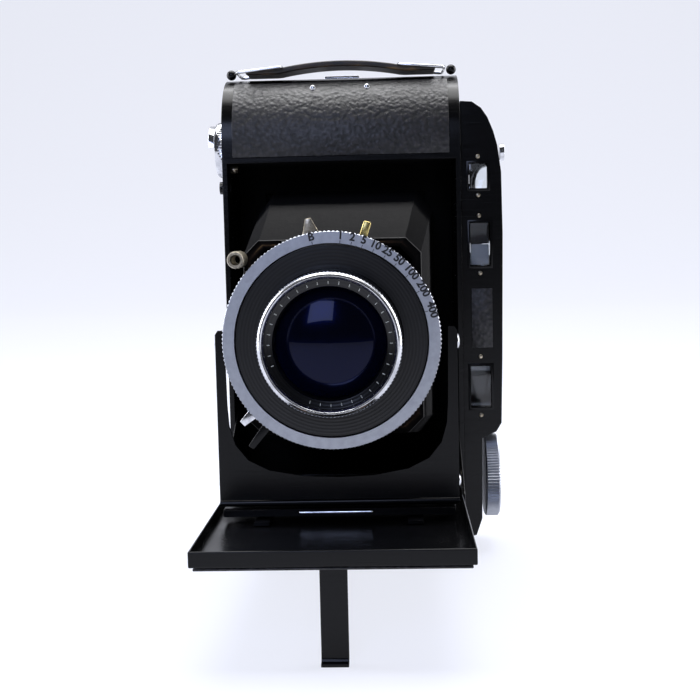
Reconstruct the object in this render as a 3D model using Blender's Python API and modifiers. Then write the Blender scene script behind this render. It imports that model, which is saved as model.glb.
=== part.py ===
"""A folding roll-film camera for 6 x 9 cm frames, standing on its end with the bed open.

X runs across the case, Y from the lens side (-) to the film side (+), and Z up. The origin is
the middle of the flat end that the case stands on. Lengths below are in millimetres.
"""

from math import acos, cos, degrees, pi, radians, sin

import bmesh
import bpy
from mathutils import Matrix

MM = 0.001
GAP = 0.3

# Case
CASE_HALF = 39.5
CASE_HEIGHT = 164.0
FRONT_Y, SPLIT_Y, BACK_Y = -24.0, 10.0, 14.0
FRONT_RADIUS, BACK_RADIUS = 22.0, 12.0
FRONT_CENTRE_Y, BACK_CENTRE_Y = FRONT_Y + FRONT_RADIUS, BACK_Y - BACK_RADIUS
WALL = 1.5
OPENING_HALF, OPENING_LOW, OPENING_HIGH = 37.9, 27.6, 134.5
GATE_HALF_X, GATE_HALF_Z = 28.5, 43.5
SPOOL_Y, SPOOL_TOP_Z, SPOOL_LOW_Z = -3.0, 149.25, 14.15
SPOOL_FLANGE_R = 12.0

# Bed, measured from the hinge
HINGE_Y, HINGE_Z = -23.6, 29.2
BED_HALF, BED_FRONT_Y, BED_REAR_Y = 36.56, -128.4, -25.2
BED_UNDER_Z, BED_FLOOR_Z, BED_RIM_Z, BED_WALL = 26.8, 28.4, 31.1, 0.7
FOOT_Y, FOOT_Z, FOOT_HALF = -123.5, 24.4, 3.6

# Lens and its frame
AXIS_Z = 82.0
FRAME_Y, FRAME_PIVOT_Z, FRAME_HALF = -84.0, 33.5, 34.5
BOARD_FRONT, BOARD_REAR = 95.5, 94.0
SPEED_RING_R = 29.2

# Rangefinder housing and the knob below it
HOUSING_Y, HOUSING_DEPTH = -5.0, 28.0
KNOB_Z, KNOB_R = 24.9, 14.4

# Winding key
KEY_Y, KEY_Z, KEY_R = -5.0, 140.3, 9.4
KEY_TEETH, SPOOL_TEETH = 10, 15

# Bed release, on the same side as the winding key
BED_BUTTON_Y, BED_BUTTON_Z = -15.0, 126.9

# Strap
LUG_X, LUG_Y, LUG_Z = 37.5, -8.0, 165.4

ROUND = 36

for old in list(bpy.data.objects):
    bpy.data.objects.remove(old, do_unlink=True)

camera_parts = bpy.data.collections.new("folding_camera")
cutters = bpy.data.collections.new("cutters")
for group in (camera_parts, cutters):
    bpy.context.scene.collection.children.link(group)


def material(name, colour, roughness, metallic=0.0, alpha=1.0):
    made = bpy.data.materials.new(name)
    made.use_nodes = True
    shader = made.node_tree.nodes["Principled BSDF"]
    shader.inputs["Base Color"].default_value = (*colour, 1.0)
    shader.inputs["Roughness"].default_value = roughness
    shader.inputs["Metallic"].default_value = metallic
    shader.inputs["Alpha"].default_value = alpha
    return made


ENAMEL = material("black_enamel", (0.012, 0.012, 0.013), 0.25)
LEATHER = material("black_leather", (0.02, 0.02, 0.02), 0.6)
CHROME = material("chrome", (0.75, 0.75, 0.76), 0.12, 1.0)
SATIN = material("satin_aluminium", (0.6, 0.6, 0.62), 0.35, 1.0)
BRASS = material("brass", (0.7, 0.6, 0.36), 0.3, 1.0)
STEEL = material("steel", (0.45, 0.44, 0.42), 0.35, 1.0)
ANODISED = material("black_anodised", (0.015, 0.015, 0.017), 0.4, 0.5)
GLASS = material("coated_glass", (0.05, 0.07, 0.2), 0.03, 0.0, 0.35)
BELLOWS = material("bellows_leather", (0.06, 0.045, 0.04), 0.7)
WOOD = material("spool_wood", (0.3, 0.2, 0.12), 0.7)


# Ways of making a solid -------------------------------------------------------------------

ALONG_X = Matrix.Rotation(pi / 2, 4, "Z") @ Matrix.Rotation(pi / 2, 4, "X")
ALONG_Y = Matrix.Rotation(pi / 2, 4, "X")
ALONG_Z = Matrix.Identity(4)
SPIN_X = Matrix.Rotation(pi / 2, 4, "Y")


def add(name, mesh, finish, at=(0, 0, 0), turn=ALONG_Z):
    """An object in the camera's collection, at a place in millimetres."""
    made = bpy.data.objects.new(name, mesh)
    made.matrix_world = Matrix.Translation([value * MM for value in at]) @ turn
    mesh.materials.clear()
    mesh.materials.append(finish)
    camera_parts.objects.link(made)
    return made


def as_cutter(made):
    camera_parts.objects.unlink(made)
    cutters.objects.link(made)
    made.hide_render = True
    made.display_type = "WIRE"
    return made


def combine(made, other, operation):
    modifier = made.modifiers.new(operation.lower(), "BOOLEAN")
    modifier.operation = operation
    modifier.object = as_cutter(other)


def cut(made, *others):
    for other in others:
        combine(made, other, "DIFFERENCE")
    return made


def join(made, *others):
    for other in others:
        combine(made, other, "UNION")
    return made


def block(name, low, high, finish=ENAMEL):
    """A box from its lowest to its highest corner."""
    shape = bmesh.new()
    size = [(b - a) * MM for a, b in zip(low, high)]
    bmesh.ops.create_cube(shape, size=1.0, matrix=Matrix.Diagonal((*size, 1.0)))
    mesh = bpy.data.meshes.new(name)
    shape.to_mesh(mesh)
    shape.free()
    return add(name, mesh, finish, [(a + b) / 2 for a, b in zip(low, high)])


def rod(name, at, radius, length, turn, finish=CHROME, segments=ROUND):
    """A cylinder about its own Z, turned to lie along an axis of the camera."""
    shape = bmesh.new()
    bmesh.ops.create_cone(shape, cap_ends=True, segments=segments, radius1=radius * MM,
                          radius2=radius * MM, depth=length * MM)
    mesh = bpy.data.meshes.new(name)
    shape.to_mesh(mesh)
    shape.free()
    mesh.set_sharp_from_angle(angle=radians(40))
    return add(name, mesh, finish, at, turn)


def ball(name, at, radius, finish=CHROME):
    shape = bmesh.new()
    bmesh.ops.create_uvsphere(shape, u_segments=16, v_segments=10, radius=radius * MM)
    mesh = bpy.data.meshes.new(name)
    shape.to_mesh(mesh)
    shape.free()
    return add(name, mesh, finish, at)


def outline(name, points, at, thickness, turn, finish=ENAMEL):
    """A flat outline made solid; the curve is turned into a welded mesh at once."""
    curve = bpy.data.curves.new(name, "CURVE")
    curve.dimensions = "2D"
    curve.fill_mode = "BOTH"
    curve.extrude = thickness / 2 * MM
    line = curve.splines.new("POLY")
    line.points.add(len(points) - 1)
    for point, (across, upward) in zip(line.points, points):
        point.co = (across * MM, upward * MM, 0.0, 1.0)
    line.use_cyclic_u = True
    holder = bpy.data.objects.new(name, curve)
    camera_parts.objects.link(holder)
    mesh = bpy.data.meshes.new_from_object(holder.evaluated_get(bpy.context.evaluated_depsgraph_get()))
    bpy.data.objects.remove(holder, do_unlink=True)
    shape = bmesh.new()
    shape.from_mesh(mesh)
    bmesh.ops.remove_doubles(shape, verts=shape.verts, dist=0.002 * MM)
    shape.to_mesh(mesh)
    shape.free()
    return add(name, mesh, finish, at, turn)


def turned(name, profile, at, turn, finish, segments=ROUND, closed=True):
    """A turned piece: (radius, height) points run down the outside and back up the bore."""
    mesh = bpy.data.meshes.new(name)
    places = [(radius * MM, 0.0, height * MM) for radius, height in profile]
    steps = [(i, i + 1) for i in range(len(places) - 1)]
    if closed:
        steps.append((len(places) - 1, 0))
    mesh.from_pydata(places, steps, [])
    made = add(name, mesh, finish, at, turn)
    spin = made.modifiers.new("turn", "SCREW")
    spin.steps = spin.render_steps = segments
    spin.use_merge_vertices = True
    spin.merge_threshold = 0.00001
    return made


def tube(name, radius_out, radius_in, low, high, at, turn, finish, segments=ROUND):
    profile = [(radius_out, high), (radius_out, low), (radius_in, low), (radius_in, high)]
    return turned(name, profile, at, turn, finish, segments)


def wire(name, points, radius, finish=CHROME):
    """A round wire through points in millimetres."""
    curve = bpy.data.curves.new(name, "CURVE")
    curve.dimensions = "3D"
    curve.bevel_depth = radius * MM
    curve.bevel_resolution = 2
    curve.use_fill_caps = True
    line = curve.splines.new("POLY")
    line.points.add(len(points) - 1)
    for point, place in zip(line.points, points):
        point.co = (*(value * MM for value in place), 1.0)
    made = bpy.data.objects.new(name, curve)
    curve.materials.append(finish)
    camera_parts.objects.link(made)
    return made


def arc(centre, radius, start, stop, count):
    """Points on an arc; angles in degrees from the outline's first axis."""
    turns = [radians(start + (stop - start) * i / count) for i in range(count + 1)]
    return [(centre[0] + radius * cos(t), centre[1] + radius * sin(t)) for t in turns]


def mirrored_up(points):
    """The same outline's points at the other end of the case, in reverse."""
    return [(y, CASE_HEIGHT - z) for y, z in reversed(points)]


# Case -------------------------------------------------------------------------------------

def case_outline(inset, last_y):
    """The case seen from its side, from the front face back to last_y."""
    back_r = BACK_RADIUS - inset
    last_turn = -degrees(acos((min(last_y, SPLIT_Y) - BACK_CENTRE_Y) / back_r))
    low = arc((FRONT_CENTRE_Y, FRONT_RADIUS), FRONT_RADIUS - inset, 180, 270, 9)
    low += arc((BACK_CENTRE_Y, BACK_RADIUS), back_r, -90, last_turn, 3)
    if last_y > SPLIT_Y:
        low.append((last_y, low[-1][1]))
    return low + mirrored_up(low)


body = outline("body_shell", case_outline(0, SPLIT_Y), (0, 0, 0), 2 * CASE_HALF, ALONG_X)
cut(body,
    outline("case_hollow", case_outline(WALL, SPLIT_Y + 2), (0, 0, 0), 2 * (CASE_HALF - WALL), ALONG_X),
    block("case_opening", (-OPENING_HALF, FRONT_Y - 2, OPENING_LOW),
          (OPENING_HALF, FRONT_Y + 3, OPENING_HIGH)),
    rod("key_shaft_hole", (-CASE_HALF, KEY_Y, KEY_Z), 1.9, 6, SPIN_X, segments=16),
    rod("bed_button_hole", (-CASE_HALF, BED_BUTTON_Y, BED_BUTTON_Z), 2.4, 6, SPIN_X, segments=20))

chamber = [(-22, 26.6), (8, 26.6), (8, 135.7), (-22, 135.7), (-22, 134.8), (6.5, 134.8),
           (6.5, 27.4), (-22, 27.4)]
cut(outline("film_gate_frame", chamber, (0, 0, 0), 75.4, ALONG_X, ANODISED),
    block("gate_opening", (-GATE_HALF_X, 5, AXIS_Z - GATE_HALF_Z), (GATE_HALF_X, 9, AXIS_Z + GATE_HALF_Z)))


def leather_wrap(start_z, last_turn):
    """Leather over the front face and round the end, as far as last_turn above level."""
    centre = (FRONT_CENTRE_Y, CASE_HEIGHT - FRONT_RADIUS)
    inner = [(FRONT_Y - GAP, start_z)] + arc(centre, FRONT_RADIUS + GAP, 180, 180 - last_turn, 7)
    outer = [(FRONT_Y - 0.8, start_z)] + arc(centre, FRONT_RADIUS + 0.8, 180, 180 - last_turn, 7)
    return inner + outer[::-1]


outline("front_leather_upper", leather_wrap(136.2, 60), (0, 0, 0), 71.6, ALONG_X, LEATHER)
outline("front_leather_lower", mirrored_up(leather_wrap(138.0, 60)), (0, 0, 0), 71.6, ALONG_X, LEATHER)

# Back door, hinged at the foot of the case
DOOR_HINGE_Y, DOOR_HINGE_Z, DOOR_BARREL_R = 10.6, 1.5, 1.3
door_start = -degrees(acos((SPLIT_Y + GAP - BACK_CENTRE_Y) / BACK_RADIUS))
door_low = arc((BACK_CENTRE_Y, BACK_RADIUS), BACK_RADIUS, door_start, 0, 6)
door = outline("back_door", door_low + mirrored_up(door_low), (0, 0, 0), 2 * CASE_HALF, ALONG_X)
cut(door, block("door_hollow", (-38, 9, 5.5), (38, 12.4, 158.5)))
WINDOWS_Z = (52.0, 112.0)
for index, height in enumerate(WINDOWS_Z):
    cut(door, rod(f"window_hole_{index}", (0, 13, height), 3.4, 6, ALONG_Y, segments=24))
rod("back_hinge_barrel", (0, DOOR_HINGE_Y, DOOR_HINGE_Z), DOOR_BARREL_R, 60, SPIN_X, segments=16)
cut(block("back_leather", (-36, BACK_Y + GAP, 14), (36, BACK_Y + 0.8, 150), LEATHER),
    *[rod(f"leather_hole_{i}", (0, BACK_Y, z), 5.2, 4, ALONG_Y, segments=24)
      for i, z in enumerate(WINDOWS_Z)])
block("window_cover", (-9, 15.1, 47), (9, 15.7, 57), CHROME)
block("pressure_plate", (-30, 8.9, 38), (30, 9.7, 126), ANODISED)
leaf = [(-11, 12.1), (-10, 12.1), (0, 10.45), (10, 12.1), (11, 12.1), (11, 11.8), (10.2, 11.8),
        (0, 10.05), (-10.2, 11.8), (-11, 11.8)]
outline("pressure_spring", leaf, (0, 0, AXIS_Z), 40, ALONG_Z, STEEL)
block("back_catch", (-6, 0.5, 164.3), (6, 6.5, 165.4), CHROME)

# Spools, rollers and the winding train
SPOOL_HALF = 33.0


def spool(name, height):
    profile = [(0, SPOOL_HALF), (SPOOL_FLANGE_R, SPOOL_HALF), (SPOOL_FLANGE_R, SPOOL_HALF - 0.8),
               (6, SPOOL_HALF - 0.8), (6, 0.8 - SPOOL_HALF), (SPOOL_FLANGE_R, 0.8 - SPOOL_HALF),
               (SPOOL_FLANGE_R, -SPOOL_HALF), (0, -SPOOL_HALF)]
    return turned(name, profile, (0, SPOOL_Y, height), SPIN_X, WOOD, 24, closed=False)


spool("take_up_spool", SPOOL_TOP_Z)
spool("supply_spool", SPOOL_LOW_Z)
for label, height in (("upper", 138.2), ("lower", 24.4)):
    rod(f"film_roller_{label}", (0, 8.0, height), 1.4, 62, SPIN_X, STEEL, 16)


def gear(name, teeth, module, at, start_turn, finish=BRASS):
    """A spur gear with straight-flanked teeth cut thin enough to run freely."""
    pitch_r = teeth * module / 2
    tip, root = pitch_r + 0.75 * module, pitch_r - 0.95 * module
    step = 360 / teeth
    points = []
    for tooth in range(teeth):
        middle = start_turn + tooth * step
        for radius, share in ((root, -0.26), (tip, -0.1), (tip, 0.1), (root, 0.26)):
            turn = radians(middle + share * step)
            points.append((radius * cos(turn), radius * sin(turn)))
    return outline(name, points, at, 2.0, ALONG_X, finish)


train_y, train_z = KEY_Y - SPOOL_Y, KEY_Z - SPOOL_TOP_Z
GEAR_MODULE = 2 * (train_y ** 2 + train_z ** 2) ** 0.5 / (KEY_TEETH + SPOOL_TEETH)
mesh_turn = degrees(acos(-train_y / (train_y ** 2 + train_z ** 2) ** 0.5))
gear("winding_pinion", KEY_TEETH, GEAR_MODULE, (-36, KEY_Y, KEY_Z), mesh_turn)
gear("spool_gear", SPOOL_TEETH, GEAR_MODULE, (-36, SPOOL_Y, SPOOL_TOP_Z),
     mesh_turn + 180 + 180 / SPOOL_TEETH)

turned("winding_key", [(0, 0), (1.5, 0), (1.5, -2.6), (8.8, -2.6), (KEY_R, -3.0), (KEY_R, -5.4),
                       (8.9, -6.0), (0, -6.0)],
       (-37.3, KEY_Y, KEY_Z), SPIN_X, CHROME, ROUND, closed=False)
wing = arc((0, 0), 8.0, 0, 180, 10) + arc((0, 0), 5.2, 180, 0, 8)
outline("key_wing", [(y, z + 0.4) for y, z in wing], (-44.6, KEY_Y, KEY_Z), 2.0, ALONG_X, CHROME)

# Bed release, left side
rod("bed_release_button", (-40.7, BED_BUTTON_Y, BED_BUTTON_Z), 2.1, 1.8, SPIN_X, ENAMEL, 20)
block("bed_catch", (-37.5, -20.5, 131.6), (-34.8, -17, 133.9), STEEL)

# Rangefinder housing ----------------------------------------------------------------------

HOUSING_X0 = CASE_HALF + GAP
housing_edge = [(HOUSING_X0, 153.6), (43.7, 153.3), (46.7, 151.2), (48.8, 148.1), (50.7, 143.5),
                (52.0, 138.8), (53.2, 130.0), (53.5, 109.5), (53.0, 67.7), (52.5, 45.4),
                (50.7, 42.4), (45.9, 40.2), (45.6, 12.4), (43.6, 6.6), (HOUSING_X0, 5.6)]
housing = outline("rangefinder_housing", housing_edge, (0, HOUSING_Y, 0), HOUSING_DEPTH, ALONG_Y)
FACE_Y = HOUSING_Y - HOUSING_DEPTH / 2
BACK_FACE_Y = HOUSING_Y + HOUSING_DEPTH / 2
cut(housing, block("housing_hollow", (38, FACE_Y + 1.5, 46.5), (51.3, BACK_FACE_Y - 1.5, 137.2)))
WINDOWS = {"rangefinder_window": (42.3, 48.7, 124.4, 133.1),
           "finder_window": (42.4, 49.4, 98.6, 113.5),
           "second_window": (42.1, 49.3, 50.6, 65.1)}
for name, (left, right, low, high) in WINDOWS.items():
    cut(housing, block(f"{name}_hole", (left, FACE_Y - 1, low), (right, FACE_Y + 3, high)))
    block(f"{name}_glass", (left + GAP, FACE_Y + 0.3, low + GAP),
          (right - GAP, FACE_Y + 1.1, high - GAP), GLASS)
eyepieces = block("eyepiece_plate", (42.0, BACK_FACE_Y + GAP, 99.5),
                  (50.0, BACK_FACE_Y + 1.9, 134.0), ANODISED)
for index, height in enumerate((129.0, 104.6)):
    for piece, radius in ((housing, 2.6), (eyepieces, 2.3)):
        hole = rod(f"eyepiece_hole_{index}", (45.9, BACK_FACE_Y, height), radius, 6, ALONG_Y, segments=20)
        cut(piece, hole)
block("rangefinder_prism", (42.6, -16, 52), (48.8, -10, 63), GLASS)
rod("release_button", (54.6, HOUSING_Y, 137.3), 2.9, 1.6, SPIN_X, CHROME, 24)
rod("focus_knob", (49.6, HOUSING_Y, KNOB_Z), KNOB_R, 5.0, SPIN_X, CHROME, 48)

# Strap and its lugs
for side, name in ((-1, "left"), (1, "right")):
    ball(f"strap_lug_{name}", (side * LUG_X, LUG_Y, LUG_Z), 1.7)
    inner, outer = side * 20.5, side * (LUG_X - 2.6)
    loop = [(outer, LUG_Y, LUG_Z), (outer, LUG_Y - 7, LUG_Z), (outer - side, LUG_Y - 7.6, LUG_Z),
            (inner, LUG_Y - 7.6, LUG_Z + 1.2), (inner - side * 0.8, LUG_Y - 7, LUG_Z + 1.3),
            (inner - side * 0.8, LUG_Y + 7, LUG_Z + 1.3), (inner, LUG_Y + 7.6, LUG_Z + 1.2),
            (outer - side, LUG_Y + 7.6, LUG_Z), (outer, LUG_Y + 7, LUG_Z), (outer, LUG_Y + 0.9, LUG_Z)]
    wire(f"strap_loop_{name}", loop, 0.55)
strap_top = [(-19, 167.9), (-12, 168.6), (0, 169.2), (12, 168.6), (19, 167.9)]
strap_edge = strap_top + [(x, z - 1.8 + abs(x) * 0.02) for x, z in reversed(strap_top)]
outline("strap_leather", strap_edge, (0, LUG_Y, 0), 12.6, ALONG_Y, LEATHER)

# Bed --------------------------------------------------------------------------------------

cut(block("bed_panel", (-BED_HALF, BED_FRONT_Y, BED_UNDER_Z), (BED_HALF, BED_REAR_Y, BED_RIM_Z)),
    block("bed_hollow", (BED_WALL - BED_HALF, BED_FRONT_Y + BED_WALL, BED_FLOOR_Z),
          (BED_HALF - BED_WALL, BED_REAR_Y + 5, BED_RIM_Z + 2)))
block("bed_leather", (-35.6, BED_FRONT_Y + 0.9, 25.7), (35.6, -27, BED_UNDER_Z - GAP), LEATHER)
rod("bed_hinge_pin", (0, HINGE_Y, HINGE_Z), 0.6, 75.2, SPIN_X, STEEL, 16)
tube("bed_hinge_barrel", 1.25, 0.9, -30, 30, (0, HINGE_Y, HINGE_Z), SPIN_X, ENAMEL, 20)
foot_side = [(FOOT_Y - 0.4, FOOT_Z + 0.7), (FOOT_Y - 0.4, 2.0), (FOOT_Y - 1.1, 0.9), (FOOT_Y - 2.8, 0.8),
             (FOOT_Y - 2.8, 0.0), (FOOT_Y - 0.7, 0.0), (FOOT_Y + 0.4, 1.6), (FOOT_Y + 0.4, FOOT_Z + 0.7)]
outline("bed_foot", foot_side, (0, 0, 0), 2 * FOOT_HALF, ALONG_X)
cut(block("focus_rail", (-24, -92, BED_FLOOR_Z + GAP), (24, -28, 29.6), STEEL),
    block("lens_clearance", (-19.6, -94, BED_FLOOR_Z - 1), (19.6, -56.5, 31)))
block("standard_carriage", (-33.2, -87.4, 30.2), (33.2, -80.4, 32.2))
wire("pull_bar", [(-11.5, -87.75, 31.4), (-11.0, -88.9, 31.6), (9.2, -88.9, 31.6), (9.7, -87.75, 31.4)], 0.5)

# Side braces between the bed and the case
BRACE_Y, BRACE_Z, BRACE_LENGTH, BRACE_TURN = -62.0, 29.4, 53.0, 25.2
brace_edge = arc((0, 0), 2.1, 90, 270, 6) + arc((BRACE_LENGTH, 0), 2.1, -90, 90, 6)
for side, name in ((-1, "left"), (1, "right")):
    turn = Matrix.Rotation(radians(BRACE_TURN), 4, "X") @ ALONG_X
    outline(f"bed_brace_{name}", brace_edge, (side * 37.1, BRACE_Y, BRACE_Z), 0.5, turn)

# Folding frame that carries the lens ------------------------------------------------------

frame_run = [(31.9, 83.6), (31.6, 62), (31.2, 56), (29.6, 50.5), (26, 46), (20, 43), (10, 41.2), (0, 40.8)]
frame_edge = [(FRAME_HALF, 34.4), (FRAME_HALF, 82.4), (33.7, 83.6)] + frame_run
frame_edge += [(-x, z) for x, z in reversed(frame_edge) if x > 0]
front = outline("front_frame", frame_edge, (0, FRAME_Y, 0), 1.0, ALONG_Y)
join(front,
     block("frame_flange_right", (FRAME_HALF - 1, FRAME_Y, 34.4), (FRAME_HALF, -76, 82)),
     block("frame_flange_left", (-FRAME_HALF, FRAME_Y, 34.4), (1 - FRAME_HALF, -76, 82)),
     rod("frame_hem", (0, FRAME_Y, FRAME_PIVOT_Z), 1.05, 2 * FRAME_HALF, SPIN_X, ENAMEL, 16))

# Lens and shutter -------------------------------------------------------------------------

LENS = (0, 0, AXIS_Z)
tube("lens_board", 28.9, 15.5, BOARD_REAR, BOARD_FRONT, LENS, ALONG_Y, ENAMEL, 48)
turned("shutter_body", [(25.6, 107.2), (25.6, 104.8), (28.2, 104.8), (28.2, 95.8), (16.6, 95.8),
                        (16.6, 104.2), (19.2, 104.2), (19.2, 107.2)], LENS, ALONG_Y, ANODISED, 48)
tube("speed_ring", SPEED_RING_R, 25.9, 105.1, 107.5, LENS, ALONG_Y, SATIN, 72)
turned("front_barrel", [(17.4, 119.5), (18.9, 118.6), (18.9, 116.6), (18.3, 114), (18.3, 105.1),
                        (15.0, 105.1), (15.0, 115.2), (16.9, 118.0)], LENS, ALONG_Y, CHROME, 48)
turned("front_element", [(0, 114.4), (7, 113.8), (11, 112.6), (14.6, 110.6), (14.6, 108.6), (0, 108.6)],
       LENS, ALONG_Y, GLASS, 32, closed=False)
tube("rear_barrel", 15.2, 12.6, 91.8, 95.3, LENS, ALONG_Y, ANODISED, 32)
turned("rear_element", [(0, 94.6), (12.3, 94.6), (12.3, 93.4), (6, 92.5), (0, 92.2)], LENS, ALONG_Y,
       GLASS, 24, closed=False)
tube("iris_blades", 16.2, 7.0, 98.4, 98.8, LENS, ALONG_Y, ANODISED, 24)
rod("shutter_blades", (0, -100.6, AXIS_Z), 16.2, 0.4, ALONG_Y, ANODISED, 24)


def lever(name, turn_degrees, inner_r, outer_r, width, front, depth, finish):
    """A radial tab behind the speed ring; 0 degrees is to the right, 90 is up."""
    middle = (inner_r + outer_r) / 2
    turn = radians(turn_degrees)
    made = block(name, (-(outer_r - inner_r) / 2, -depth / 2, -width / 2),
                 ((outer_r - inner_r) / 2, depth / 2, width / 2), finish)
    made.matrix_world = (Matrix.Translation([middle * cos(turn) * MM, -(front - depth / 2) * MM,
                                             (AXIS_Z + middle * sin(turn)) * MM])
                         @ Matrix.Rotation(-turn, 4, "Y"))
    return made


lever("aperture_lever", 100, 28.6, 33.0, 3.4, 103.6, 0.9, STEEL)
lever("cocking_lever", 72, 28.6, 32.6, 2.2, 103.8, 2.2, BRASS)
lever("self_timer_lever", 222, 28.6, 33.4, 3.2, 103.6, 1.0, CHROME)
lever("release_lever", 232, 28.6, 37.4, 2.6, 100.6, 1.0, STEEL)
tube("cable_socket", 2.3, 1.1, 101.0, 109.6, (-24.6, 0, 104.0), ALONG_Y, STEEL, 20)

# Bellows: a plain tapered sleeve with cut corners


def sleeve_ring(half_x, half_z, corner):
    return [(half_x, -half_z + corner), (half_x, half_z - corner), (half_x - corner, half_z),
            (corner - half_x, half_z), (-half_x, half_z - corner), (-half_x, corner - half_z),
            (corner - half_x, -half_z), (half_x - corner, -half_z)]


def loft(name, sections, finish):
    """A closed skin through rings of points that run from the first section round to it again."""
    shape = bmesh.new()
    rings = [[shape.verts.new((x * MM, y * MM, (AXIS_Z + z) * MM)) for x, z in ring] for y, ring in sections]
    for near, far in zip(rings, rings[1:] + rings[:1]):
        for i in range(len(near)):
            j = (i + 1) % len(near)
            shape.faces.new((near[i], near[j], far[j], far[i]))
    bmesh.ops.recalc_face_normals(shape, faces=shape.faces)
    mesh = bpy.data.meshes.new(name)
    shape.to_mesh(mesh)
    shape.free()
    return add(name, mesh, finish)


BELLOWS_FRONT_Y, BELLOWS_BACK_Y = -93.6, 6.2
outer_rings = [(BELLOWS_FRONT_Y, sleeve_ring(24.5, 27, 4)), (BELLOWS_BACK_Y, sleeve_ring(31, 43.8, 5.5))]
inner_rings = [(BELLOWS_BACK_Y, sleeve_ring(28.8, 41.6, 4.6)),
               (BELLOWS_FRONT_Y, sleeve_ring(22.3, 24.8, 3.1))]
loft("bellows", outer_rings + inner_rings, BELLOWS)


# Moving groups: each hangs from an empty on its joint's axis -----------------------------

def moving(name, at, pieces, parent=None):
    pivot = bpy.data.objects.new(f"{name}_pivot", None)
    pivot.location = [value * MM for value in at]
    camera_parts.objects.link(pivot)
    hang(pivot, parent)
    for piece in pieces.split():
        hang(bpy.data.objects[piece], pivot)
    return pivot


def hang(child, parent):
    """Parent a piece and leave it where it stands; every pivot above it is only moved, not turned."""
    if parent:
        child.parent = parent
        child.matrix_parent_inverse = Matrix.Translation([-value for value in parent.location])


LENS_PIVOT = (0, -103, AXIS_Z)
bed = moving("bed", (0, HINGE_Y, HINGE_Z), "bed_panel bed_leather bed_hinge_barrel")
moving("foot", (0, FOOT_Y, FOOT_Z), "bed_foot", bed)
moving("braces", (0, BRACE_Y, BRACE_Z), "bed_brace_left bed_brace_right", bed)
rail = moving("rail", (0, FRAME_Y, BED_FLOOR_Z), "focus_rail", bed)
carriage = moving("carriage", (0, FRAME_Y, FRAME_PIVOT_Z), "standard_carriage pull_bar", rail)
frame = moving("frame", (0, FRAME_Y, FRAME_PIVOT_Z), "front_frame", carriage)
lens = moving("lens", LENS_PIVOT, "lens_board shutter_body front_barrel front_element rear_barrel "
              "rear_element iris_blades shutter_blades cable_socket", frame)
for piece in ("speed_ring", "aperture_lever", "cocking_lever", "self_timer_lever", "release_lever"):
    moving(piece, LENS_PIVOT, piece, lens)
moving("knob", (49.6, HOUSING_Y, KNOB_Z), "focus_knob")
key = moving("key", (-40, KEY_Y, KEY_Z), "winding_key winding_pinion")
moving("wing", (-43.9, KEY_Y, KEY_Z + 0.6), "key_wing", key)
moving("take_up", (0, SPOOL_Y, SPOOL_TOP_Z), "take_up_spool spool_gear")
moving("supply", (0, SPOOL_Y, SPOOL_LOW_Z), "supply_spool")
moving("roller_upper", (0, 8.0, 138.2), "film_roller_upper")
moving("roller_lower", (0, 8.0, 24.4), "film_roller_lower")
moving("shutter_button", (54.6, HOUSING_Y, 137.3), "release_button")
moving("bed_button", (-40.7, BED_BUTTON_Y, BED_BUTTON_Z), "bed_release_button bed_catch")
moving("catch", (0, 3.5, 164.9), "back_catch")
moving("strap", (0, LUG_Y, LUG_Z), "strap_loop_left strap_loop_right strap_leather")
back = moving("back", (0, DOOR_HINGE_Y, DOOR_HINGE_Z),
              "back_door back_leather back_hinge_barrel pressure_plate pressure_spring")
moving("cover", (0, 15.4, 52), "window_cover", back)
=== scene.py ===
"""A folding roll-film camera standing on its end with its bed open, in black enamel and leather.

Lengths are in millimetres until a piece is made. X runs across the case, -Y out of the lens, +Z up.
"""

from math import atan2, cos, hypot, pi, radians, sin

import bmesh
import bpy
from mathutils import Matrix, Vector


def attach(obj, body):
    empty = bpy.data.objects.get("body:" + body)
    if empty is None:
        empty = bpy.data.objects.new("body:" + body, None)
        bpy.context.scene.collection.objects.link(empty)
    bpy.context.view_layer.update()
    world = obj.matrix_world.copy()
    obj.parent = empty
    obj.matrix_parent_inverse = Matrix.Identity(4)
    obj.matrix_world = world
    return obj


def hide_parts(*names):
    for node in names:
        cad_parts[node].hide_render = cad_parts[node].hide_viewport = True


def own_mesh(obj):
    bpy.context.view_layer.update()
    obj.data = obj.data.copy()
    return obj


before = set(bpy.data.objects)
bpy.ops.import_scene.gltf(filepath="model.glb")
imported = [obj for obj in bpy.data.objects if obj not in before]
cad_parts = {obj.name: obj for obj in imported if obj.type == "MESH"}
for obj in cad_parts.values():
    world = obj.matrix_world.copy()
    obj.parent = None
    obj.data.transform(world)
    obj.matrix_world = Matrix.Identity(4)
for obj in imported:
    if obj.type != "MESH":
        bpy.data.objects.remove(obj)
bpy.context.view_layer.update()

MM = 0.001
LENS_Z = 82.0
LENS = (0.0, 0.0, LENS_Z)

# Bellows: folds, front and back, and how far a fold draws in
PLEATS, BELLOWS_FRONT, BELLOWS_BACK, FOLD_DEPTH = 27, -93.6, 6.0, 2.4
# Case: outer face of the front leather, width of leather, middle of the round end
LEATHER_FACE, LEATHER_WIDTH, END_CENTRE = -24.55, 71.6, -2.0
# Strap: height of its ends, rise of its arch, half length of the arch and half width
STRAP_Z, STRAP_RISE, STRAP_ARCH, STRAP_HALF, STRAP_Y = 165.6, 2.1, 21.0, 6.1, -8.0
# Speed dial: front face, radius of the figures, and sides of the two knurled rims
DIAL_FRONT, FIGURE_RADIUS, RING_SIDES, BEZEL_SIDES = -107.5, 27.95, 320, 240
# Front of the rangefinder housing, and heights of the two red windows
FACE, RED_WINDOWS = -19.0, (52.0, 112.0)


# Camera and room --------------------------------------------------------------------------

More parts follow.
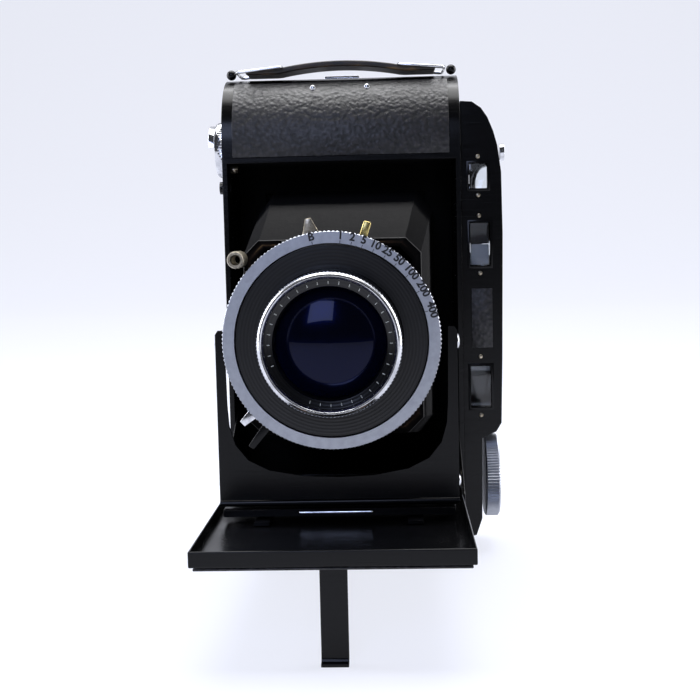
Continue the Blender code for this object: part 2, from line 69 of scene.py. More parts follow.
def look(place, yaw, pitch, roll, lens):
    """A camera that looks along +Y, turned by yaw to the left, pitch down and roll."""
    ahead = Vector((sin(yaw) * cos(pitch), cos(yaw) * cos(pitch), -sin(pitch)))
    across = Vector((cos(yaw), -sin(yaw), 0.0))
    above = across.cross(ahead)
    right = across * cos(roll) + above * sin(roll)
    upward = above * cos(roll) - across * sin(roll)
    eye = bpy.data.objects.new("eye", bpy.data.cameras.new("eye"))
    bpy.context.scene.collection.objects.link(eye)
    turn = Matrix((right, upward, -ahead)).transposed().to_4x4()
    eye.matrix_world = Matrix.Translation(Vector(place) * MM) @ turn
    eye.data.lens, eye.data.sensor_width, eye.data.clip_start = lens, 36.0, 0.01
    bpy.context.scene.camera = eye


look((17.1, -419.5, 109.1), radians(-2.24), radians(5.4), radians(-1.29), 60.94)


def linear(colour):
    """An sRGB hex colour as linear RGBA."""
    values = [int(colour[i:i + 2], 16) / 255 for i in (1, 3, 5)]
    return (*(v / 12.92 if v <= 0.04045 else ((v + 0.055) / 1.055) ** 2.4 for v in values), 1.0)


def node(tree, kind, inputs=None, **settings):
    """A node with its settings and links: an input takes a value, or another node's socket."""
    made = tree.nodes.new(kind)
    for key, value in settings.items():
        setattr(made, key, value)
    for key, value in (inputs or {}).items():
        if isinstance(value, bpy.types.NodeSocket):
            tree.links.new(value, made.inputs[key])
        else:
            made.inputs[key].default_value = value
    return made


def softbox(name, place, aim, size, power, colour="#ffffff"):
    lamp = bpy.data.lights.new(name, "AREA")
    lamp.shape, lamp.size, lamp.size_y = "RECTANGLE", size[0] * MM, size[1] * MM
    lamp.energy, lamp.color = power, linear(colour)[:3]
    held = bpy.data.objects.new(name, lamp)
    held.location = Vector(place) * MM
    held.rotation_euler = (Vector(aim) - Vector(place)).to_track_quat("-Z", "Y").to_euler()
    bpy.context.scene.collection.objects.link(held)


softbox("box_left", (-640, 60, 300), (0, -30, 80), (300, 620), 5.0, "#f4f7ff")
softbox("box_right", (640, 120, 280), (0, -30, 80), (300, 560), 4.0, "#fbfbff")
softbox("box_above", (0, 60, 700), (0, -60, 60), (620, 420), 6.0)
softbox("box_front", (-150, -780, 430), (0, -90, 80), (320, 360), 1.8, "#c8d6ff")
softbox("wall_wash", (0, 500, 1500), (0, 1900, 500), (2400, 500), 26.0, "#f7f8ff")

# The studio is white behind and above the subject and dark on the viewer's side
room = bpy.data.worlds.new("room")
bpy.context.scene.world = room
room.use_nodes = True
sky = room.node_tree
ahead = node(sky, "ShaderNodeSeparateXYZ", {0: node(sky, "ShaderNodeTexCoord").outputs["Generated"]})
glow = node(sky, "ShaderNodeMapRange", {"Value": ahead.outputs["Y"], "From Min": -0.35, "From Max": 0.5,
                                        "To Min": 0.06, "To Max": 1.0})
sky.nodes["Background"].inputs["Color"].default_value = linear("#eef0f8")
sky.links.new(glow.outputs[0], sky.nodes["Background"].inputs["Strength"])
bpy.context.scene.view_settings.view_transform = "Standard"


# Finishes ---------------------------------------------------------------------------------

def finish(name, colour, roughness, metallic=0.0, **more):
    """A Principled material; more holds further sockets of the shader by name."""
    made = bpy.data.materials.new(name)
    made.use_nodes = True
    shader = made.node_tree.nodes["Principled BSDF"]
    shader.inputs["Base Color"].default_value = linear(colour)
    shader.inputs["Roughness"].default_value = roughness
    shader.inputs["Metallic"].default_value = metallic
    for key, value in more.items():
        shader.inputs[key.replace("_", " ")].default_value = value
    return made, made.node_tree, shader


def place_of(tree, scale=(1, 1, 1)):
    where = node(tree, "ShaderNodeTexCoord")
    return node(tree, "ShaderNodeMapping", {"Vector": where.outputs["Object"], "Scale": scale}).outputs[0]


def bumped(tree, shader, height, strength, distance):
    bump = node(tree, "ShaderNodeBump", {"Height": height, "Strength": strength, "Distance": distance * MM})
    tree.links.new(bump.outputs[0], shader.inputs["Normal"])


def ramp_colour(tree, shader, factor, *stops):
    """The base colour from a ramp of (position, colour) stops, used for real stains and wear and also for
    painted highlight and painted shade.
    """
    ramp = node(tree, "ShaderNodeValToRGB", {"Fac": factor})
    while len(ramp.color_ramp.elements) < len(stops):
        ramp.color_ramp.elements.new(0.5)
    for element, (position, colour) in zip(ramp.color_ramp.elements, stops):
        element.position, element.color = position, linear(colour)
    tree.links.new(ramp.outputs[0], shader.inputs["Base Color"])


def ranged(tree, value, low, high):
    return node(tree, "ShaderNodeMapRange", {"Value": value, "To Min": low, "To Max": high}).outputs[0]


def stove_enamel():
    """Stove enamel on sheet metal: deep gloss with a faint orange peel, hairlines and handling marks."""
    made, tree, shader = finish("stove_enamel", "#050506", 0.2, Specular_IOR_Level=0.2)
    peel = node(tree, "ShaderNodeTexNoise", {"Vector": place_of(tree), "Scale": 420.0, "Detail": 2.0})
    hair = node(tree, "ShaderNodeTexNoise", {"Vector": place_of(tree, (60, 60, 2600)), "Scale": 1.0,
                                             "Detail": 4.0})
    wear = node(tree, "ShaderNodeTexNoise", {"Vector": place_of(tree), "Scale": 90.0, "Detail": 9.0,
                                             "Roughness": 0.7})
    ramp_colour(tree, shader, wear.outputs[0], (0.0, "#040405"), (0.62, "#060607"), (0.76, "#15120f"))
    tree.links.new(ranged(tree, hair.outputs[0], 0.12, 0.34), shader.inputs["Roughness"])
    bumped(tree, shader, peel.outputs[0], 0.06, 0.08)
    return made


# The high colour is a painted highlight on the pebble crowns; low is the leather and the painted shade
# between them.
def pebbled_leather(name="pebbled_leather", low="#0a0a0b", high="#2b292c", border=False):
    """Pressed leather cloth: 1.3 mm pebbles, lighter on their crowns and darker between, a painted highlight
    and painted shade in the colour under the bump.
    """
    made, tree, shader = finish(name, low, 0.5, Sheen_Weight=0.05)
    pebble = node(tree, "ShaderNodeTexVoronoi", {"Vector": place_of(tree), "Scale": 760.0,
                                                 "Randomness": 0.95}, feature="SMOOTH_F1")
    fold = node(tree, "ShaderNodeTexNoise", {"Vector": place_of(tree), "Scale": 700.0, "Detail": 5.0})
    grain = node(tree, "ShaderNodeMath", {0: pebble.outputs["Distance"], 1: fold.outputs[0]},
                 operation="MULTIPLY")
    # Colour from the pebbles: a painted highlight on the crowns, painted shade between them.
    ramp_colour(tree, shader, grain.outputs[0], (0.05, high), (0.3, low))
    tree.links.new(ranged(tree, grain.outputs[0], 0.38, 0.7), shader.inputs["Roughness"])
    height = grain.outputs[0]
    if border:
        split = node(tree, "ShaderNodeSeparateXYZ", {0: place_of(tree, (1000, 1000, 1000))})
        side = node(tree, "ShaderNodeMath", {0: split.outputs["X"]}, operation="ABSOLUTE")
        line = node(tree, "ShaderNodeMath", {0: side.outputs[0], 1: 29.6, 2: 0.45}, operation="COMPARE")
        height = node(tree, "ShaderNodeMath", {0: line.outputs[0], 1: 0.9, 2: height},
                      operation="MULTIPLY_ADD").outputs[0]
    bump = node(tree, "ShaderNodeBump", {"Height": height, "Strength": 1.0, "Distance": 0.5 * MM},
                invert=True)
    tree.links.new(bump.outputs[0], shader.inputs["Normal"])
    return made


def bellows_leather():
    """Thin skiver leather, brown-black, worn through to tan in streaks on the ridges of its folds; the
    lighter ridges are partly a painted highlight, and the near-black valleys between the folds are painted
    shade.
    """
    made, tree, shader = finish("bellows_leather", "#1c1614", 0.6, Specular_IOR_Level=0.2)
    pitch = (BELLOWS_BACK - BELLOWS_FRONT) / PLEATS * MM
    scale = 2 * pi / 20 / pitch
    # Bands at the fold pitch: light on the ridges, partly wear and partly a painted highlight, and dark in
    # the valleys as painted shade.
    ridge_light_and_valley_shade = node(tree, "ShaderNodeTexWave", {"Vector": place_of(tree), "Scale": scale,
                                             "Phase Offset": pi / 2 - 20 * scale * BELLOWS_FRONT * MM},
                 bands_direction="Y")
    streak = node(tree, "ShaderNodeTexNoise", {"Vector": place_of(tree, (60, 700, 60)), "Scale": 1.0,
                                               "Detail": 8.0, "Roughness": 0.72})
    crease = node(tree, "ShaderNodeTexNoise", {"Vector": place_of(tree), "Scale": 900.0, "Detail": 4.0})
    wear_and_fold_shade = node(tree, "ShaderNodeMath", {0: streak.outputs[0], 1: ridge_light_and_valley_shade.outputs["Fac"]},
                  operation="MULTIPLY")
    # Near black in the valleys is painted shade between the folds; tan on the ridges is wear with a painted
    # highlight.
    ramp_colour(tree, shader, wear_and_fold_shade.outputs[0], (0.3, "#040303"), (0.44, "#14100e"), (0.54, "#3a2c22"),
            (0.64, "#a08258"))
    tree.links.new(ranged(tree, streak.outputs[0], 0.42, 0.72), shader.inputs["Roughness"])
    bumped(tree, shader, crease.outputs[0], 0.35, 0.12)
    return made


def worn_strap():
    """Harness leather, black worn to brown in streaks along its length, with a fine grain."""
    made, tree, shader = finish("harness_leather", "#17110d", 0.48)
    rub = node(tree, "ShaderNodeTexNoise", {"Vector": place_of(tree, (130, 420, 420)), "Scale": 1.0,
                                            "Detail": 8.0})
    grain = node(tree, "ShaderNodeTexVoronoi", {"Vector": place_of(tree), "Scale": 1500.0})
    ramp_colour(tree, shader, rub.outputs[0], (0.38, "#0e0b0a"), (0.58, "#2a1e14"), (0.75, "#6b5432"))
    bumped(tree, shader, grain.outputs["Distance"], 0.3, 0.12)
    return made


def metal(name, colour, shade, roughness, grain, spread=0.12):
    """A bare or plated metal: fine polishing marks, with tarnish between two shades."""
    made, tree, shader = finish(name, colour, roughness, 1.0)
    mark = node(tree, "ShaderNodeTexNoise", {"Vector": place_of(tree), "Scale": grain, "Detail": 7.0,
                                             "Roughness": 0.65})
    ramp_colour(tree, shader, mark.outputs[0], (0.3, shade), (0.6, colour))
    tree.links.new(ranged(tree, mark.outputs[0], roughness + spread, max(roughness - spread, 0.03)),
                   shader.inputs["Roughness"])
    bumped(tree, shader, mark.outputs[0], 0.05, 0.03)
    return made


def grooved_black():
    """Black-anodised aluminium turned with fine rings about the lens axis, 0.9 mm apart."""
    made, tree, shader = finish("turned_black_anodised", "#0c0c0d", 0.3, 0.35)
    moved = node(tree, "ShaderNodeMapping", {"Vector": place_of(tree), "Location": (0, 0, -LENS_Z * MM)})
    ring = node(tree, "ShaderNodeTexWave", {"Vector": moved.outputs[0], "Scale": 350.0, "Distortion": 0.0},
                wave_type="RINGS", rings_direction="Y")
    ramp_colour(tree, shader, ring.outputs["Fac"], (0.0, "#080809"), (1.0, "#161618"))
    bumped(tree, shader, ring.outputs["Fac"], 0.3, 0.06)
    return made


def coated_glass():
    """A blue-coated front element: near black straight on and blue where it turns away, a painted reflection
    of the coating in its colour.
    """
    made, tree, shader = finish("coated_glass", "#05070f", 0.03, IOR=1.5, Coat_Weight=0.3,
                                Coat_Roughness=0.02, Coat_IOR=1.4, Specular_IOR_Level=0.16)
    shader.inputs["Specular Tint"].default_value = linear("#5b78ff")
    shader.inputs["Coat Tint"].default_value = linear("#8fa0ff")
    turn = node(tree, "ShaderNodeLayerWeight", {"Blend": 0.35})
    dust = node(tree, "ShaderNodeTexNoise", {"Vector": place_of(tree), "Scale": 260.0, "Detail": 6.0})
    # Base colour by facing: the blue at grazing angles is a painted reflection.
    ramp_colour(tree, shader, turn.outputs["Facing"], (0.0, "#020308"), (0.35, "#050820"), (0.8, "#0e1548"))
    tree.links.new(ranged(tree, dust.outputs[0], 0.1, 0.24), shader.inputs["Roughness"])
    return made


def window_glass():
    """Plain polished glass, a little smoky, with a trace of dust."""
    made, tree, shader = finish("window_glass", "#e9eef2", 0.03, IOR=1.5, Transmission_Weight=1.0)
    dust = node(tree, "ShaderNodeTexNoise", {"Vector": place_of(tree), "Scale": 500.0, "Detail": 5.0})
    tree.links.new(ranged(tree, dust.outputs[0], 0.01, 0.09), shader.inputs["Roughness"])
    return made


def flat_paint(name, colour, roughness=0.6):
    """A matt paint or ink, slightly uneven."""
    made, tree, shader = finish(name, colour, roughness)
    mottle = node(tree, "ShaderNodeTexNoise", {"Vector": place_of(tree), "Scale": 800.0, "Detail": 4.0})
    tree.links.new(ranged(tree, mottle.outputs[0], roughness - 0.1, roughness + 0.1),
                   shader.inputs["Roughness"])
    return made


ENAMEL = stove_enamel()
LEATHER = pebbled_leather()
LEATHER_BORDERED = pebbled_leather("pebbled_leather_bordered", border=True)
BELLOWS = bellows_leather()
STRAP = worn_strap()
CHROME = metal("chrome_plate", "#d6d7da", "#a9aaae", 0.14, 300.0, 0.06)
SATIN = metal("satin_aluminium", "#a6a9b0", "#999ca3", 0.4, 500.0, 0.05)
BRASS = metal("worn_brass", "#c9b878", "#8c7a48", 0.28, 400.0)
NICKEL = metal("worn_nickel", "#b9b09c", "#6f6554", 0.34, 700.0, 0.16)
COPPER = metal("tarnished_copper", "#7a5a42", "#3a281c", 0.45, 500.0)
TURNED_BLACK = grooved_black()
BLACK_INK = flat_paint("black_ink", "#0a0a0b")
WHITE_INK = flat_paint("engraved_white", "#b9bbb2")
DARK = flat_paint("dull_black", "#030303", 0.85)
DARK.node_tree.nodes["Principled BSDF"].inputs["Specular IOR Level"].default_value = 0.15
# A pale pane behind the windows: painted light, standing for the bright view seen through the finder.
PALE = flat_paint("pane_painted_light", "#c8c8cc", 0.5)
FINDER_RED = flat_paint("finder_mask", "#1d1110", 0.5)
RED_CELL = flat_paint("red_celluloid", "#5a0d0c", 0.25)
COATED = coated_glass()
CLEAR = window_glass()
SPOOL_WOOD = flat_paint("turned_beech", "#8a623c", 0.6)


# Ways of working --------------------------------------------------------------------------

def rest():
    """Out of edit mode with nothing selected."""
    if bpy.context.object and bpy.context.object.mode != "OBJECT":
        bpy.ops.object.mode_set(mode="OBJECT")
    bpy.ops.object.select_all(action="DESELECT")


def pick(kind, test):
    """Select, in edit mode, every vertex or edge whose middle passes the test."""
    bpy.ops.mesh.select_all(action="DESELECT")
    bpy.ops.mesh.select_mode(type={"verts": "VERT", "edges": "EDGE"}[kind])
    shape = bmesh.from_edit_mesh(bpy.context.object.data)
    world = bpy.context.object.matrix_world
    for part in getattr(shape, kind):
        points = [part.co] if kind == "verts" else [v.co for v in part.verts]
        middle = world @ (sum(points, Vector()) / len(points)) / MM
        if test(middle, part):
            part.select_set(True)
    shape.select_flush_mode()
    bmesh.update_edit_mesh(bpy.context.object.data)


def finished(name, material, body, stands_for=(), smooth=35, clean=True):
    """Close the piece, leave it at the origin and say what it rides on."""
    if bpy.context.object.mode == "OBJECT":
        bpy.ops.object.mode_set(mode="EDIT")
    if clean:
        bpy.ops.mesh.select_all(action="SELECT")
        bpy.ops.mesh.remove_doubles(threshold=0.002 * MM)
        bpy.ops.mesh.normals_make_consistent(inside=False)
    bpy.ops.object.mode_set(mode="OBJECT")
    made = bpy.context.object
    bpy.ops.object.transform_apply(location=True, rotation=True, scale=True)
    made.name = made.data.name = name
    made.data.materials.clear()
    made.data.materials.append(material)
    bpy.ops.object.shade_smooth_by_angle(angle=radians(smooth))
    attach(made, body)
    if stands_for:
        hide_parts(*stands_for)
    rest()
    return made


def modify(kind, **settings):
    """Add a modifier to the active piece and apply it."""
    if bpy.context.object.mode != "OBJECT":
        bpy.ops.object.mode_set(mode="OBJECT")
    made = bpy.context.object.modifiers.new(kind.lower(), kind)
    for key, value in settings.items():
        setattr(made, key, value)
    bpy.ops.object.modifier_apply(modifier=made.name)


TURN = {"Y": (pi / 2, 0, 0), "X": (0, pi / 2, 0)}


def ringed(rings, centre, axis="Y", sides=64):
    """A turned shape, from a circle extruded and resized ring by ring; rings are (radius, along)."""
    rest()
    run = "XYZ".index(axis)
    place = Vector(centre)
    place[run] = rings[0][1]
    bpy.ops.mesh.primitive_circle_add(vertices=sides, radius=max(rings[0][0], 0.01) * MM, location=place * MM,
                                      rotation=TURN[axis])
    bpy.ops.object.transform_apply(location=True, rotation=True, scale=True)
    bpy.ops.object.mode_set(mode="EDIT")
    bpy.ops.mesh.select_all(action="SELECT")
    if rings[0][0] < 0.02:
        bpy.ops.mesh.edge_face_add()
    for (before, start), (radius, along) in zip(rings, rings[1:]):
        step = [0.0, 0.0, 0.0]
        step[run] = (along - start) * MM
        bpy.ops.mesh.extrude_region_move(TRANSFORM_OT_translate={"value": step})
        place[run] = along
        ratio = max(radius, 0.01) / max(before, 0.01)
        grow = [ratio, ratio, ratio]
        grow[run] = 1.0
        bpy.ops.transform.resize(value=grow, center_override=place * MM)
    if rings[-1][0] < 0.02:
        bpy.ops.mesh.edge_face_add()


def knurl(centre, axis, sides, low, high, ratio):
    """Draw in every other vertex of the rims between two radii, for straight knurling."""
    across, upward = [i for i in range(3) if "XYZ"[i] != axis]

    def tooth(at, part):
        side, up = at[across] - centre[across], at[upward] - centre[upward]
        turn = atan2(up, side) / (2 * pi) * sides
        return low <= hypot(side, up) <= high and round(turn) % 2 == 1

    pick("verts", tooth)
    grow = [ratio, ratio, ratio]
    grow["XYZ".index(axis)] = 1.0
    bpy.ops.transform.resize(value=grow, center_override=Vector(centre) * MM)


def turn_about_lens(degrees):
    """Turn the active piece round the lens axis."""
    bpy.ops.object.mode_set(mode="OBJECT")
    out, back = Matrix.Translation(Vector(LENS) * MM), Matrix.Translation(-Vector(LENS) * MM)
    bpy.context.object.matrix_world = out @ Matrix.Rotation(-radians(degrees), 4, "Y") @ back


def cut(piece, tool):
    """Cut the tool out of the piece, then take the tool away."""
    bpy.ops.object.select_all(action="DESELECT")
    bpy.context.view_layer.objects.active = piece
    piece.select_set(True)
    modify("BOOLEAN", object=tool, operation="DIFFERENCE")
    bpy.data.objects.remove(tool, do_unlink=True)


def slab(low, high, edge=0.2, segments=2):
    """A bevelled block between two corners, still in edit mode."""
    rest()
    low, high = Vector(low), Vector(high)
    bpy.ops.mesh.primitive_cube_add(size=1.0, location=(low + high) / 2 * MM)
    bpy.context.object.scale = (high - low) * MM
    bpy.ops.object.transform_apply(location=True, rotation=True, scale=True)
    bpy.ops.object.mode_set(mode="EDIT")
    bpy.ops.mesh.select_all(action="SELECT")
    bpy.ops.mesh.bevel(offset=edge * MM, segments=segments, affect="EDGES")


def rivet(name, at, radius, axis, body, material=CHROME, height=None):
    """A domed head standing on a surface; height is signed along the axis."""
    height = radius * 0.55 if height is None else height
    run = "XYZ".index(axis)
    along = at[run]
    rings = [(radius, along), (radius, along + height * 0.25), (radius * 0.86, along + height * 0.62),
             (radius * 0.5, along + height * 0.92), (0, along + height)]
    ringed(rings, at, axis, 20)
    return finished(name, material, body, smooth=60)


def mark(name, words, size, turn_degrees, radius, front_y, material, body, slot):
    """Figures laid round the lens axis, with their feet towards it."""
    rest()
    bpy.ops.object.text_add()
    text = bpy.context.object
    text.data.body, text.data.size, text.data.extrude = words, size * MM, 0.03 * MM
    text.data.offset = 0.1 * MM
    text.data.align_x, text.data.align_y = "CENTER", "CENTER"
    text.data.resolution_u = 4
    bpy.ops.object.convert(target="MESH")
    text = bpy.context.object
    turn = radians(turn_degrees)
    place = Vector((radius * cos(turn), front_y, LENS_Z + radius * sin(turn)))
    text.matrix_world = (Matrix.Translation(place * MM)
                         @ Matrix.Rotation(pi / 2 - turn, 4, "Y") @ Matrix.Rotation(pi / 2, 4, "X"))
    return finished(name, material, body, clean=False)


def refine(names, material, edge=0.25, angle=35):
    """Give CAD nodes their finish, rounded edges and smooth curves, without touching their meshes."""
    for name in names.split():
        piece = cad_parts[name]
        piece.data.materials.clear()
        piece.data.materials.append(material)
        for face in piece.data.polygons:
            face.use_smooth = True
        weld = piece.modifiers.new("weld", "WELD")
        weld.merge_threshold = 0.001 * MM
        if edge:
            bevel = piece.modifiers.new("edge", "BEVEL")
            bevel.width, bevel.segments = edge * MM, 2
            bevel.limit_method, bevel.angle_limit = "ANGLE", radians(angle)
            bevel.use_clamp_overlap = True
        even = piece.modifiers.new("shading", "WEIGHTED_NORMAL")
        even.keep_sharp = False


refine("body_shell rangefinder_housing back_door bed_panel", ENAMEL, 0.35)
refine("front_frame standard_carriage bed_foot bed_brace_left bed_brace_right lens_board", ENAMEL, 0.15)
refine("back_hinge_barrel bed_hinge_barrel bed_release_button strap_lug_left strap_lug_right", ENAMEL, 0.0)
refine("film_gate_frame pressure_plate eyepiece_plate rear_barrel iris_blades shutter_blades", DARK, 0.0)
refine("shutter_body", TURNED_BLACK, 0.2)
refine("window_cover back_catch key_wing release_button pull_bar", CHROME, 0.15)
refine("strap_loop_left strap_loop_right", CHROME, 0.0)
refine("winding_pinion spool_gear", BRASS, 0.0)
refine("pressure_spring film_roller_upper film_roller_lower bed_catch bed_hinge_pin", NICKEL, 0.0)
refine("focus_rail", ENAMEL, 0.1)
refine("finder_window_glass rangefinder_window_glass second_window_glass", CLEAR, 0.0)
refine("rangefinder_prism rear_element", CLEAR, 0.0)
refine("take_up_spool supply_spool", SPOOL_WOOD, 0.0)


# Leather on the case ----------------------------------------------------------------------

def wrap(name, straight_from, straight_to, turn, node_name, material):
    """Leather on the front face, spun on round the end of the case."""
    rest()
    middle = (0, LEATHER_FACE * MM, (straight_from + straight_to) / 2 * MM)
    bpy.ops.mesh.primitive_plane_add(size=1.0, location=middle, rotation=(pi / 2, 0, 0))
    bpy.context.object.scale = (LEATHER_WIDTH * MM, abs(straight_to - straight_from) * MM, 1.0)
    bpy.ops.object.transform_apply(location=True, rotation=True, scale=True)
    bpy.ops.object.mode_set(mode="EDIT")
    pick("edges", lambda at, part: abs(at.z - straight_to) < 0.05)
    bpy.ops.mesh.spin(steps=24, angle=turn, center=(0, END_CENTRE * MM, straight_to * MM), axis=(1, 0, 0))
    modify("SOLIDIFY", thickness=0.55 * MM, offset=0.0)
    modify("BEVEL", width=0.15 * MM, segments=2, limit_method="ANGLE")
    return finished(name, material, "case", (node_name,))


wrap("leather_front_upper", 136.4, 142.0, radians(60), "front_leather_upper", LEATHER_BORDERED)
wrap("leather_front_lower", 26.0, 22.0, radians(-60), "front_leather_lower", LEATHER)


# Bellows ----------------------------------------------------------------------------------

def pleated(name, front, back, pleats):
    """A square with cut corners, extruded fold by fold from the lens board to the film gate."""
    (front_y, half_x, half_z), (back_y, last_x, last_z) = front, back
    rest()
    bpy.ops.mesh.primitive_plane_add(size=2.0, location=(0, front_y * MM, LENS_Z * MM),
                                     rotation=(pi / 2, 0, 0))
    bpy.context.object.scale = (half_x * MM, half_z * MM, 1.0)
    bpy.ops.object.transform_apply(location=True, rotation=True, scale=True)
    bpy.ops.object.mode_set(mode="EDIT")
    bpy.ops.mesh.select_all(action="SELECT")
    bpy.ops.mesh.bevel(offset=4.2 * MM, segments=1, affect="VERTICES")
    bpy.ops.mesh.select_mode(type="FACE")
    bpy.ops.mesh.select_all(action="SELECT")
    bpy.ops.mesh.delete(type="ONLY_FACE")
    bpy.ops.mesh.select_mode(type="EDGE")
    bpy.ops.mesh.select_all(action="SELECT")
    steps = pleats * 2
    step = {"value": (0, (back_y - front_y) / steps * MM, 0)}
    size = (half_x, half_z)
    for i in range(1, steps + 1):
        share = i / steps
        fold = FOLD_DEPTH if i % 2 else 0.0
        target = (half_x + (last_x - half_x) * share - fold, half_z + (last_z - half_z) * share - fold)
        bpy.ops.mesh.extrude_region_move(TRANSFORM_OT_translate=step)
        bpy.ops.transform.resize(value=(target[0] / size[0], 1.0, target[1] / size[1]),
                                 center_override=(0, 0, LENS_Z * MM))
        size = target
    modify("SOLIDIFY", thickness=0.35 * MM, offset=-1.0)
    return finished(name, BELLOWS, "case", ("bellows",), smooth=20)


folds = pleated("pleated_bellows", (BELLOWS_FRONT, 24.5, 27.0), (BELLOWS_BACK, 30.8, 43.4), PLEATS)
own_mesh(folds)


# Strap ------------------------------------------------------------------------------------

def arched_strap():
    rest()
    bpy.ops.mesh.primitive_grid_add(x_subdivisions=44, y_subdivisions=6, size=1.0,
                                    location=(0, STRAP_Y * MM, STRAP_Z * MM))
    bpy.context.object.scale = (64 * MM, 2 * STRAP_HALF * MM, 1.0)
    bpy.ops.object.transform_apply(location=True, rotation=True, scale=True)
    for point in bpy.context.object.data.vertices:
        across = min(abs(point.co.x / MM) / STRAP_ARCH, 1.0)
        crown = 1.0 - ((point.co.y / MM - STRAP_Y) / STRAP_HALF) ** 2
        point.co.z = (STRAP_Z + STRAP_RISE * (1 - across ** 2) + 0.25 * crown) * MM
    modify("SOLIDIFY", thickness=1.9 * MM, offset=0.0)
    modify("BEVEL", width=0.55 * MM, segments=3, limit_method="ANGLE")
    return finished("carrying_strap", STRAP, "strap", ("strap_leather",))


arched_strap()


# Lens and shutter -------------------------------------------------------------------------

ringed([(29.2, -105.1), (29.2, -107.3), (28.9, -107.5), (25.9, -107.5), (25.9, -105.1), (29.2, -105.1)], LENS,
       "Y", RING_SIDES)
knurl(LENS, "Y", RING_SIDES, 29.0, 29.4, 0.988)
finished("speed_dial", SATIN, "speed", ("speed_ring",))

SPEEDS = (("B", 99.7), ("1", 83.7), ("2", 77.2), ("5", 70.8), ("10", 64.0), ("25", 56.6), ("50", 48.9),
          ("100", 39.6), ("200", 28.6), ("400", 16.3))
for words, turn in SPEEDS:
    mark(f"speed_{words}", words, 2.9, turn, FIGURE_RADIUS, DIAL_FRONT - 0.05, BLACK_INK, "speed", "anodised")
    slab((25.95, -107.58, LENS_Z - 0.09), (26.75, -107.45, LENS_Z + 0.09), 0.02, 1)
    turn_about_lens(turn)
    finished(f"speed_line_{words}", BLACK_INK, "speed")

# Chromed bezel with a finely knurled rim, then a black name ring with plain engraved ticks
ringed([(18.3, -105.1), (18.3, -114.0), (18.9, -115.4), (18.9, -118.2), (18.5, -118.7), (18.2, -119.2),
        (17.7, -119.5), (17.3, -119.2), (17.0, -118.5), (16.9, -117.6), (16.9, -105.1), (18.3, -105.1)], LENS,
       "Y", BEZEL_SIDES)
knurl(LENS, "Y", BEZEL_SIDES, 18.6, 19.1, 0.984)
finished("lens_bezel", CHROME, "lens", ("front_barrel",))
ringed([(16.85, -116.6), (15.0, -115.6), (14.8, -114.6), (14.8, -105.2), (16.85, -105.2), (16.85, -116.6)],
       LENS, "Y", 96)
finished("name_ring", TURNED_BLACK, "lens")
for index in range(36):
    turn = 10 * index
    if 200 < turn < 250:
        continue
    slab((15.5, -116.32, LENS_Z - 0.1), (16.3, -116.1, LENS_Z + 0.1), 0.03, 1)
    turn_about_lens(turn)
    finished(f"ring_tick_{index}", WHITE_INK, "lens")

ringed([(14.7, -109.0), (14.7, -110.8), (13.0, -111.9), (11.0, -112.8), (8.5, -113.6), (6.0, -114.1),
        (3.0, -114.4), (0, -114.5)], LENS, "Y", 96)
pick("edges", lambda at, part: part.is_boundary)
bpy.ops.mesh.edge_face_add()
finished("front_glass", COATED, "lens", ("front_element",), smooth=60)


def tab(name, turn_degrees, near, far, width, front, depth, material, body, stands_for, taper=0.7):
    """A lever end behind the dial: a bevelled slab drawn in at its tip and turned round the axis."""
    low, high = (near, -front, LENS_Z - width / 2), (far, depth - front, LENS_Z + width / 2)
    slab(low, high, min(width, depth) * 0.2, 3)
    pick("verts", lambda at, part: at.x > far - 1.0)
    bpy.ops.transform.resize(value=(1, 1, taper), center_override=Vector((far, -front, LENS_Z)) * MM)
    turn_about_lens(turn_degrees)
    return finished(name, material, body, stands_for)


tab("aperture_pointer", 100, 28.6, 33.0, 4.6, 103.6, 0.9, NICKEL, "aperture", ("aperture_lever",),
    0.35)
tab("timer_tab", 222, 28.6, 33.4, 3.2, 103.6, 1.0, CHROME, "timer", ("self_timer_lever",), 0.6)
tab("release_arm", 232, 28.6, 37.4, 2.6, 100.6, 1.0, ENAMEL, "release", ("release_lever",))
tab("cocking_peg", 72, 28.4, 33.0, 2.2, 103.9, 2.2, BRASS, "cocking", ("cocking_lever",), 0.95)

SOCKET = (-24.6, 0.0, 104.0)
ringed([(2.3, -101.0), (2.3, -108.9), (2.0, -109.6), (1.4, -109.6), (1.15, -109.1), (1.15, -101.0),
        (2.3, -101.0)], SOCKET, "Y", 40)
finished("release_socket", NICKEL, "lens", ("cable_socket",))


# Knobs ------------------------------------------------------------------------------------

KNOB = (49.6, -5.0, 24.9)
ringed([(0, 47.1), (13.6, 47.1), (14.4, 47.6), (14.4, 51.6), (13.7, 52.1), (12.2, 52.1), (11.6, 51.7),
        (0, 51.5)], KNOB, "X", 180)
knurl(KNOB, "X", 180, 14.2, 14.6, 0.968)
finished("focus_wheel", SATIN, "knob", ("focus_knob",))
KEY = (-40.0, -5.0, 140.3)
ringed([(0, -37.3), (1.5, -37.3), (1.5, -39.9), (8.9, -39.9), (9.4, -40.3), (9.4, -42.6), (9.0, -43.3),
        (8.2, -43.3), (7.6, -43.0), (0, -43.0)], KEY, "X", 120)
knurl(KEY, "X", 120, 9.2, 9.5, 0.97)
finished("winding_disc", CHROME, "key", ("winding_key",))

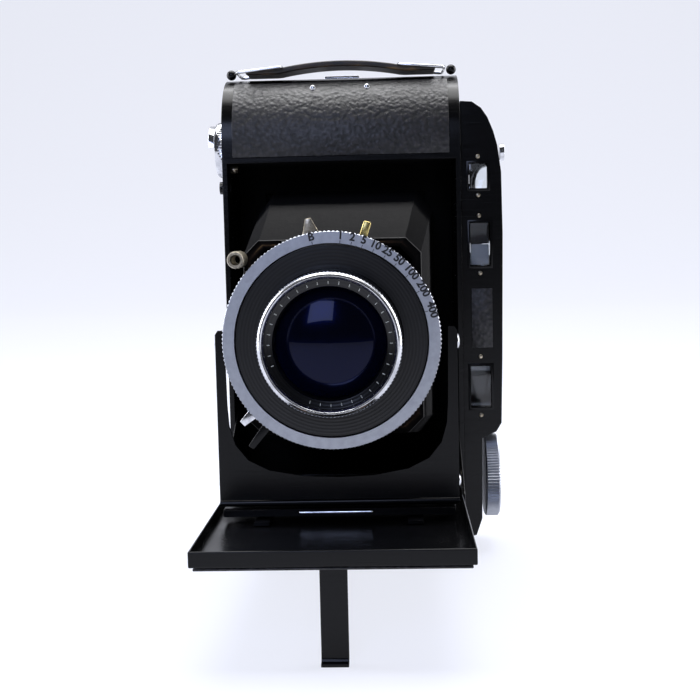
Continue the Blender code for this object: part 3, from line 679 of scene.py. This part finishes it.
# Details on the rangefinder housing
WINDOWS = {"upper": (42.3, 48.7, 124.4, 133.1), "finder": (42.4, 49.4, 98.6, 113.5),
           "lower": (42.1, 49.3, 50.6, 65.1)}
for label, (left, right, low, high) in WINDOWS.items():
    slab((left - 0.7, FACE - 0.35, low - 0.7), (right + 0.7, FACE - 0.02, high + 0.7), 0.12, 2)
    bpy.ops.object.mode_set(mode="OBJECT")
    rim = bpy.context.object
    slab((left + 0.1, FACE - 2, low + 0.1), (right - 0.1, FACE + 2, high - 0.1), 0.3, 2)
    bpy.ops.object.mode_set(mode="OBJECT")
    hole = bpy.context.object
    cut(rim, hole)
    finished(f"window_rim_{label}", ENAMEL, "case")
# The pale finder and lower panes are painted light, pale sheets for the bright view through the windows.
slab((43.1, FACE + 3.0, 99.2), (48.7, FACE + 3.4, 106.0), 0.1, 1)
finished("finder_pane", PALE, "case")
slab((43.0, FACE + 3.0, 106.2), (48.8, FACE + 3.4, 113.0), 0.1, 1)
finished("finder_mask", FINDER_RED, "case")
slab((42.6, FACE + 3.0, 51.2), (48.8, FACE + 3.4, 64.5), 0.1, 1)
finished("lower_pane", PALE, "case")
slab((42.9, FACE - 0.3, 71.2), (49.8, FACE - 0.02, 91.2), 0.12, 2)
finished("housing_leather", LEATHER, "case")
for index, (across, height) in enumerate(((45.4, 135.2), (45.4, 122.4), (45.6, 115.6), (45.8, 96.4),
                                          (45.6, 68.2), (45.6, 48.2))):
    rivet(f"housing_screw_{index}", (across, FACE, height), 0.75, "Y", "case", NICKEL, -0.3)

# Rivets and bed details
for index, side in enumerate((-1, 1)):
    rivet(f"frame_rivet_{index}", (side * 34.5, -79.0, 79.0), 2.2, "X", "frame", height=side * 0.9)
    rivet(f"hinge_rivet_{index}", (side * 34.5, -79.5, 38.5), 1.6, "X", "frame", height=side * 0.8)
    rivet(f"edge_rivet_{index}", (side * 9.0, -19.6, 159.0), 0.95, "Y", "case", height=-0.6)
    slab((side * 24.5 - 3.2, -125.5, 28.45), (side * 24.5 + 3.2, -119.5, 28.75), 0.08, 1)
    finished(f"bed_patch_{index}", COPPER, "bed")
slab((-35.6, -127.4, 25.72), (35.6, -27.2, 26.45), 0.3, 3)
finished("bed_cover", LEATHER, "bed", ("bed_leather",))

# Leather and red windows on the back
slab((-36, 14.3, 14), (36, 14.8, 150), 0.15, 2)
bpy.ops.object.mode_set(mode="OBJECT")
hide = bpy.context.object
for height in RED_WINDOWS:
    ringed([(0, 8.0), (5.2, 8.0), (5.2, 18.0), (0, 18.0)], (0, 0, height), "Y", 48)
    bpy.ops.object.mode_set(mode="OBJECT")
    punch = bpy.context.object
    cut(hide, punch)
finished("back_cover", LEATHER_BORDERED, "back", ("back_leather",))
for index, height in enumerate(RED_WINDOWS):
    ringed([(0, 12.9), (3.3, 12.9), (3.3, 13.5), (0, 13.6)], (0, 0, height), "Y", 40)
    finished(f"red_window_{index}", RED_CELL, "back", smooth=50)

# Floor and backdrop: one sheet that rises behind the camera
rest()
bpy.ops.mesh.primitive_plane_add(size=1.0, location=(0, 0.1, 0))
bpy.context.object.scale = (6.0, 2.4, 1.0)
bpy.ops.object.transform_apply(location=True, rotation=True, scale=True)
bpy.ops.object.mode_set(mode="EDIT")
pick("edges", lambda at, part: at.y > 1250)
bpy.ops.mesh.spin(steps=90, angle=radians(-85), center=(0, 1.3, 1.6), axis=(1, 0, 0))
bpy.ops.mesh.extrude_region_move(TRANSFORM_OT_translate={"value": (0, 0.3, 2.0)})
bpy.ops.object.mode_set(mode="OBJECT")
sweep = bpy.context.object
sweep.name = "paper_sweep"
paper, _, paper_shader = finish("paper_sweep", "#7c7e88", 0.95, Emission_Strength=0.8)
paper_shader.inputs["Emission Color"].default_value = linear("#eef0f8")
sweep.data.materials.append(paper)
rest()
